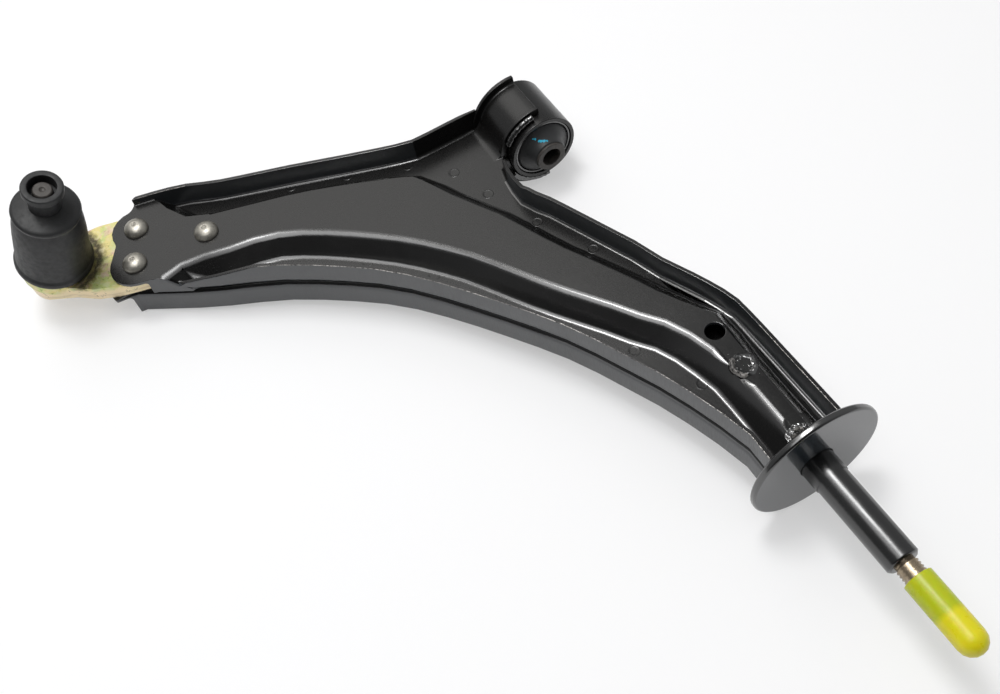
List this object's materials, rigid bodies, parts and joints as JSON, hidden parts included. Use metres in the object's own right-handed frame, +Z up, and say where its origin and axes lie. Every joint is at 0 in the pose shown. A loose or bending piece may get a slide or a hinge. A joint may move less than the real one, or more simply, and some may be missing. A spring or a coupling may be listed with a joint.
{
  "type": "suspension control arm",
  "caption": "Pressed-steel lower suspension control arm with a riveted ball joint and rubber boot, a welded front eye with a rubber bush, and threaded rear pivot pin with stop disc and end cap",
  "frame": {"origin": "under the middle of the bounding box, at its base", "axes": "+Y runs along the pivot axis from the rear pin to the front eye, +Z is up along the arm's thin direction on the side the ball stud stands, +X points from the ball joint to the pivot axis"},
  "size_m": [0.3824, 0.5366, 0.138],
  "materials": {
    "black_paint": "satin black paint",
    "bare_steel": "satin",
    "yellow_zinc": "yellow zinc plating",
    "black_rubber": "matt",
    "boot_rubber": "matt",
    "seat_plastic": "matt",
    "yellow_plastic": "soft plastic"
  },
  "bodies": {
    "arm": {"top_pressing": "black_paint", "bottom_pressing": "black_paint", "rear_pin": "black_paint", "stop_disc": "black_paint", "pin_plug_weld": "black_paint", "root_weld": "black_paint", "front_eye": "black_paint", "eye_weld_upper": "black_paint", "eye_weld_lower": "black_paint", "bush_outer_shell": "black_paint", "bush_rubber": "black_rubber", "ball_housing": "yellow_zinc", "ball_seat_upper": "seat_plastic", "ball_seat_lower": "seat_plastic", "seat_retainer": "bare_steel", "boot": "boot_rubber", "boot_foot_ring": "bare_steel", "rivet_1": "bare_steel", "rivet_2": "bare_steel", "rivet_3": "bare_steel"},
    "boot_top": {"boot_collar": "boot_rubber"},
    "stud": {"ball_stud": "bare_steel"},
    "bush_inner": {"bush_inner_sleeve": "bare_steel"},
    "cap": {"thread_cap": "yellow_plastic"}
  },
  "joints": [
    {"name": "ball_swing", "type": "hinge", "parent": "arm", "child": "boot_top", "pos_m": [-0.17076, 0.24673, 0.05005], "axis": [0, 1, 0], "range_deg": [-20, 20], "deforming": ["boot"]},
    {"name": "ball_spin", "type": "hinge", "parent": "boot_top", "child": "stud", "pos_m": [-0.17076, 0.24673, 0.05005], "axis": [0.281, -0.2096, 0.9365], "range_deg": [-180, 180]},
    {"name": "bush_twist", "type": "hinge", "parent": "arm", "child": "bush_inner", "pos_m": [0.14924, 0.16823, 0.042], "axis": [0, 1, 0], "range_deg": [-20, 20]},
    {"name": "cap_pull", "type": "slide", "parent": "arm", "child": "cap", "axis": [0, -1, 0], "range_m": [0, 0.03]}
  ]
}
